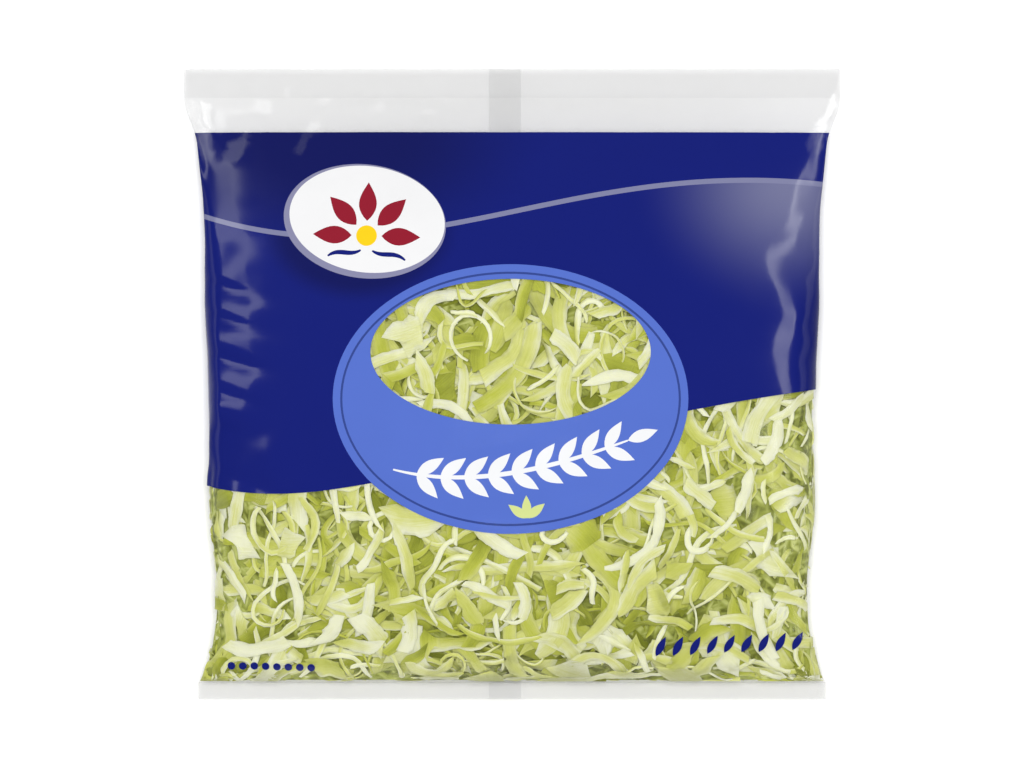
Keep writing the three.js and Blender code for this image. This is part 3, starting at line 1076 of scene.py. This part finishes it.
class Heap:
    """How far inside the film the heap's top is, all round the bag, while shreds are laid on it."""

    def __init__(self):
        around = np.linalg.norm(smooth_skin.around[:, len(PLACES) // 2], axis=-1)
        self.arc = np.concatenate([[0], np.cumsum((around[1:] + around[:-1]) / 2 * np.diff(TURNS))])
        shape = int(self.arc[-1] / CELL) + 1, int((TOP_ROOT - BOTTOM_ROOT) / CELL) + 1
        self.depth = np.full(shape, CORE_DEPTH)

    def cells(self, turn, y):
        column = np.interp((turn + 1) % 4 - 1, TURNS, self.arc) / CELL
        row = (np.clip(y, BOTTOM_ROOT, TOP_ROOT) - BOTTOM_ROOT) / CELL
        return column.astype(int), row.astype(int)

    def lay(self, cells, sag, thickness):
        """Lays a shred on the heap. Gives the depth of its two edges along it, or None if it doesn't fit."""
        under = self.depth[cells]
        half = under.shape[1] // 2
        edges = np.stack([under[:, : half + 1].min(axis=1), under[:, half:].min(axis=1)])
        edges = (edges[:, None] + sag).min(axis=2)
        ends = np.pad(edges, ((0, 0), (EVENED // 2, EVENED // 2)), mode="edge")
        edges = sum(ends[:, k : k + edges.shape[1]] for k in range(EVENED)) / EVENED
        edges = edges - TILT_EASE * np.abs(edges[0] - edges[1]) - thickness - AIR
        if (edges.min(axis=0) < ROOM).mean() > CROWDED:
            return None
        edges = np.maximum(edges, ROOM)
        across = np.linspace(0, 1, under.shape[1])
        top = edges[0][:, None] * (1 - across) + edges[1][:, None] * across
        self.depth[cells] = np.minimum(under, top)
        return edges


def lay_heap(kinds, seed):
    """Lays shreds of all kinds in a random order. Gives each kind's (turn, y, length, width, edges)."""
    rng = np.random.default_rng(seed)
    heap = Heap()
    drawn, grounds, laid, tries = {}, {}, {}, []
    for name, spec in kinds.items():
        drawn[name] = draw_paths(rng, spec)
        turn, y, length, width = drawn[name]
        grounds[name] = heap.cells(*footprints(turn, y, width, spec["rings"]))
        laid[name] = []
        tries += [(name, k) for k in range(spec["tries"])]
    for early, index in zip(np.linspace(1, 0, len(tries)), rng.permutation(len(tries))):
        name, k = tries[index]
        spec, length = kinds[name], drawn[name][2][k]
        if len(laid[name]) < spec["count"]:
            steps = np.linspace(0, length, FINE * (spec["rings"] - 1) + 1)
            sag = spec["sag"] * LIMP**early * (steps[:, None] - steps) ** 2
            columns, rows = grounds[name]
            edges = heap.lay((columns[k], rows[k]), sag, spec["thickness"])
            if edges is not None:
                laid[name].append((k, edges[:, ::FINE]))
    result = {}
    for name, found in laid.items():
        chosen = [k for k, _ in found]
        result[name] = *(values[chosen] for values in drawn[name]), np.array([edges for _, edges in found])
    return result


def place_shreds(turn, y, width, edges, spec):
    """Each shred's centre line, and the directions across it and out of it."""
    (surface, _), (_, normals) = skin.at(turn, y), smooth_skin.at(turn, y)
    low, high = edges[:, 0], edges[:, 1]
    twist = np.arctan2(low - high, 2 * width[:, None])
    centres = surface - normals * ((low + high + spec["thickness"]) / 2)[..., None]
    ahead = unit(np.gradient(centres, axis=1))
    side = unit(np.cross(normals, ahead))
    up = np.cross(ahead, side)
    turned = np.cos(twist)[..., None] * side + np.sin(twist)[..., None] * up
    lifted = np.cos(twist)[..., None] * up - np.sin(twist)[..., None] * side
    return centres, turned, lifted


END_SHARE = 0.25  # share of a shred's length over which its end tapers
CUT_SLANT = 0.7  # how far a cut end runs askew, in half widths
LEAST_REACH = 0.2  # share of its width that a ragged edge keeps at least
CUPPING = (-0.6, 0.8)  # mean and spread of how far shreds cup
CRIMP_WAVES, CRIMP_SHEAR = (0.3, 0.9), 1.5  # radians for each millimetre along, and from middle to edge
TINT_SPREAD, TINT_DRIFT = 0.08, 0.14  # between shreds, and from the middle of one to its ends and edges
PALE_EDGE_AND_HIGHLIGHT = 0.14  # how much paler the cut edges are than the middle, partly their own colour and partly a painted highlight
DEPTH_SHADE, UNSHADED_DEPTH = 0.09, 2.0  # painted shade: how much darker and greener a shred is for each millimetre that it lies deeper
GRAIN_SCALE = (0.12, 2.2, 3.7)  # of the fibres, along and across a shred and from one shred to the next


def section(columns):
    """Round a shred's section: how far across each point is, from -1 to 1, and whether it is on top."""
    v = np.linspace(-1, 1, columns)
    return np.concatenate([v, v[-2:0:-1]]), np.concatenate([np.ones(columns), -np.ones(columns - 2)])


def shred_points(rng, laid, spec):
    """Points of strips with a thin lens-shaped section, and how far to the side of its middle each is.

    Both are in an order of (shred, ring, point round the ring).
    """
    turn, y, length, width, edges = laid
    count, rings, each = len(length), spec["rings"], (len(length), 1, 1)
    centres, side, up = place_shreds(turn, y, width, edges, spec)
    width = width.reshape(each)
    share = np.linspace(0, 1, rings)[None, :, None]
    tips = rng.uniform(*spec["tip"], (count, 2))[..., None, None]
    near_start, near_end = np.clip(1 - share / END_SHARE, 0, 1), np.clip(1 - (1 - share) / END_SHARE, 0, 1)
    taper = 1 - (1 - tips[:, 0]) * near_start**1.5 - (1 - tips[:, 1]) * near_end**1.5
    across, top = section(spec["columns"])
    ragged = rng.normal(0, 1, (count, rings, 2))
    ragged = 1 + spec["ragged"] * sum(np.roll(ragged, shift, axis=1) for shift in (-1, 0, 1)) / math.sqrt(3)
    reach = np.where(across < 0, ragged[..., :1], ragged[..., 1:])
    sideways = across * (width * taper * np.maximum(reach, LEAST_REACH))
    cup = spec["cup"] * rng.normal(*CUPPING, each) * width
    waves, phase = rng.uniform(*CRIMP_WAVES, each), rng.uniform(0, 6, each)
    crimp = spec["crimp"] * np.sin(share * length.reshape(each) * waves + phase + CRIMP_SHEAR * across)
    rise = cup * (1 - across**2) + crimp * across**2 + top * spec["thickness"] / 2 * (1 - across**2) ** 0.5
    cuts = rng.normal(0, CUT_SLANT, (count, 2, 1, 1))
    forward = (cuts[:, 0] * near_start + cuts[:, 1] * near_end) * across * width
    points = centres[:, :, None]
    for direction, amount in ((side, sideways), (up, rise), (np.cross(side, up), forward)):
        points = points + direction[:, :, None] * amount[..., None]
    points[..., 1] -= SETTLING * (1 - smooth(points[..., 1], BOTTOM_ROOT, BOTTOM_ROOT + SETTLING_SPAN))
    return press_inside(points, FILM_GAP), sideways


def strip_faces(index, columns):
    """Triangles of strips with closed ends, from their points' numbers as (strip, ring, place in it)."""
    quads = [tube_faces(index)[:, [1, 0, 3, 2]]]
    for ring, flip in ((index[:, 0], 1), (index[:, -1], -1)):
        for k in range(columns - 1):
            quads.append(ring[:, [-k, k, k + 1, -k - 1]][:, ::flip])
    quads = np.concatenate(quads)
    faces = np.concatenate([quads[:, [0, 1, 2]], quads[:, [0, 2, 3]]])
    return faces[(faces != np.roll(faces, 1, axis=1)).all(axis=1)]


def set_values(piece, name, kind, key, values):
    """Gives each of a piece's points a value that its material reads by name."""
    attribute = piece.data.attributes.new(name, kind, "POINT")
    attribute.data.foreach_set(key, values.astype(np.float32).ravel())


def shreds(name, seed, spec, laid):
    """All shreds of one kind, in one mesh. Each has its own tint, which drifts along it and across it."""
    rng = np.random.default_rng(seed)
    points, sideways = shred_points(rng, laid, spec)
    _, _, length, _, edges = laid
    count, each, shape = len(length), (len(length), 1, 1), points.shape[:3]
    index = np.arange(points.size // 3).reshape(shape)
    piece = new_mesh(name, points.reshape(-1, 3), strip_faces(index, spec["columns"]))
    piece.data.set_sharp_from_angle(angle=math.radians(60))
    share, (across, _) = np.linspace(0, 1, spec["rings"])[None, :, None], section(spec["columns"])
    tint = rng.choice(spec["tints"], count).reshape(each) + rng.normal(0, TINT_SPREAD, each)
    # Painted shade: shreds that lie deeper in the heap are tinted darker and greener.
    tint = tint + DEPTH_SHADE * (edges.mean(axis=(1, 2)).reshape(each) - UNSHADED_DEPTH)
    tint = tint + rng.normal(0, TINT_DRIFT, each) * (share - 0.5) * 2
    # The cut edges are paler: partly their own colour, partly a painted highlight.
    tint = tint + (rng.normal(0, TINT_DRIFT, each) * across - PALE_EDGE_AND_HIGHLIGHT * across**4)
    set_values(piece, "tint", "FLOAT", "value", np.clip(tint, 0, 1))
    along, aside, apart = GRAIN_SCALE
    grain = share * length.reshape(each) * along, sideways * aside, np.arange(count).reshape(each) * apart
    grain = np.stack([np.broadcast_to(values, shape) for values in grain], axis=-1)
    set_values(piece, "grain", "FLOAT_VECTOR", "vector", grain)
    return piece


# Tries are drawn, and at most count of them are laid. Sag is how much a shred droops between what it
# lies on: a millimetre at a distance of sag ** -0.5 millimetres.
RIBBON = dict(rings=15, columns=4, thickness=0.4, cup=0.15, crimp=0.2, ragged=0.1, tip=(0.35, 1.0), sag=0.014)
KINDS = {
    "leaf_ribbons": dict(
        RIBBON, tries=3300, count=1050, length=(14, 40), width=(2.4, 6.6), curl=0.035,
        tints=(0.3, 0.4, 0.5, 0.65),
    ),
    "pale_ribbons": dict(
        RIBBON, tries=3300, count=1050, length=(12, 38), width=(1.8, 5.4), curl=0.045,
        tints=(0.05, 0.15, 0.28, 0.38),
    ),
    "rib_strands": dict(
        rings=17, columns=3, thickness=0.8, cup=0.0, crimp=0.0, ragged=0.1, tip=(0.5, 0.9), sag=0.01,
        tries=4200, count=1300, length=(12, 44), width=(0.9, 2.2), curl=0.08,
        tints=(0.05, 0.15, 0.3, 0.45),
    ),
    "leaf_chips": dict(
        rings=11, columns=7, thickness=0.35, cup=0.14, crimp=0.35, ragged=0.1, tip=(0.3, 0.9), sag=0.012,
        tries=1500, count=740, length=(10, 26), width=(6, 13), curl=0.02,
        tints=(0.1, 0.25, 0.4, 0.5, 0.6, 0.8),
    ),
}
laid = lay_heap(KINDS, 40)
for seed, (name, spec) in enumerate(KINDS.items(), start=41):
    slot = "cabbage_rib" if name == "rib_strands" else "cabbage_leaf"
    add_piece(shreds(name, seed, spec, laid[name]), leaf_material)


# ---------------------------------------------------------------- floor, light and camera
def floor():
    size = 4000
    corners = np.array([[-size, -size, 0], [size, -size, 0], [size, size, 0], [-size, size, 0]], float)
    piece = new_mesh("floor", corners, np.array([[0, 1, 2, 3]]))
    m = Material("floor")
    shader = m.node("BsdfDiffuse", Color=(0.95, 0.95, 0.95, 1))
    piece.data.materials.append(m.finish(shader.outputs[0]))


def area_light(name, azimuth, elevation, distance, size, power, highlight):
    """A soft light aimed at the bag. Azimuth is from +X towards +Y.

    A highlight light only shows in gloss, and the other kind does all the rest.
    """
    light = bpy.data.lights.new(name, "AREA")
    light.shape = "RECTANGLE"
    light.size, light.size_y = size
    light.energy = power
    lamp = bpy.data.objects.new(name, light)
    bpy.context.scene.collection.objects.link(lamp)
    a, e = math.radians(azimuth), math.radians(elevation)
    toward = Vector((math.cos(e) * math.cos(a), math.cos(e) * math.sin(a), math.sin(e)))
    lamp.location = toward * distance
    lamp.rotation_euler = toward.to_track_quat("Z", "Y").to_euler()
    lamp.visible_camera = False
    lamp.visible_glossy = highlight
    lamp.visible_diffuse = not highlight


def world_light(strength, in_gloss):
    """Even light from all round, which may be weaker where gloss mirrors it."""
    world = bpy.data.worlds.new("world")
    bpy.context.scene.world = world
    world.use_nodes = True
    nodes, links = world.node_tree.nodes, world.node_tree.links
    background = nodes["Background"]
    background.inputs["Color"].default_value = (1, 1, 1, 1)
    choose = nodes.new("ShaderNodeMapRange")
    choose.inputs["To Min"].default_value = strength
    choose.inputs["To Max"].default_value = in_gloss
    links.new(nodes.new("ShaderNodeLightPath").outputs["Is Glossy Ray"], choose.inputs["Value"])
    links.new(choose.outputs["Result"], background.inputs["Strength"])


CAMERA_LENS, SENSOR = 250, 36
FRAME_PIXELS, PIXEL = 1024, 0.35061  # a pixel in millimetres, at the height of the seals
FRAME_WIDTH = FRAME_PIXELS * PIXEL

floor()
area_light("overhead", azimuth=90, elevation=87.5, distance=4, size=(1, 1), power=148, highlight=False)
area_light("left_box", azimuth=148, elevation=36, distance=1.6, size=(1.4, 0.28), power=3, highlight=True)
area_light("right_strip", azimuth=12, elevation=38, distance=1.6, size=(2.1, 0.12), power=4, highlight=True)
world_light(0.33, in_gloss=0.15)

camera = bpy.data.cameras.new("camera")
camera.lens = CAMERA_LENS
camera.sensor_width = SENSOR
camera.clip_end = 20
eye = bpy.data.objects.new("camera", camera)
bpy.context.scene.collection.objects.link(eye)
eye.location = (0, 0, (SEAL_HEIGHT + FRAME_WIDTH * CAMERA_LENS / SENSOR) * METRE)
bpy.context.scene.camera = eye
bpy.context.scene.view_settings.view_transform = "Standard"
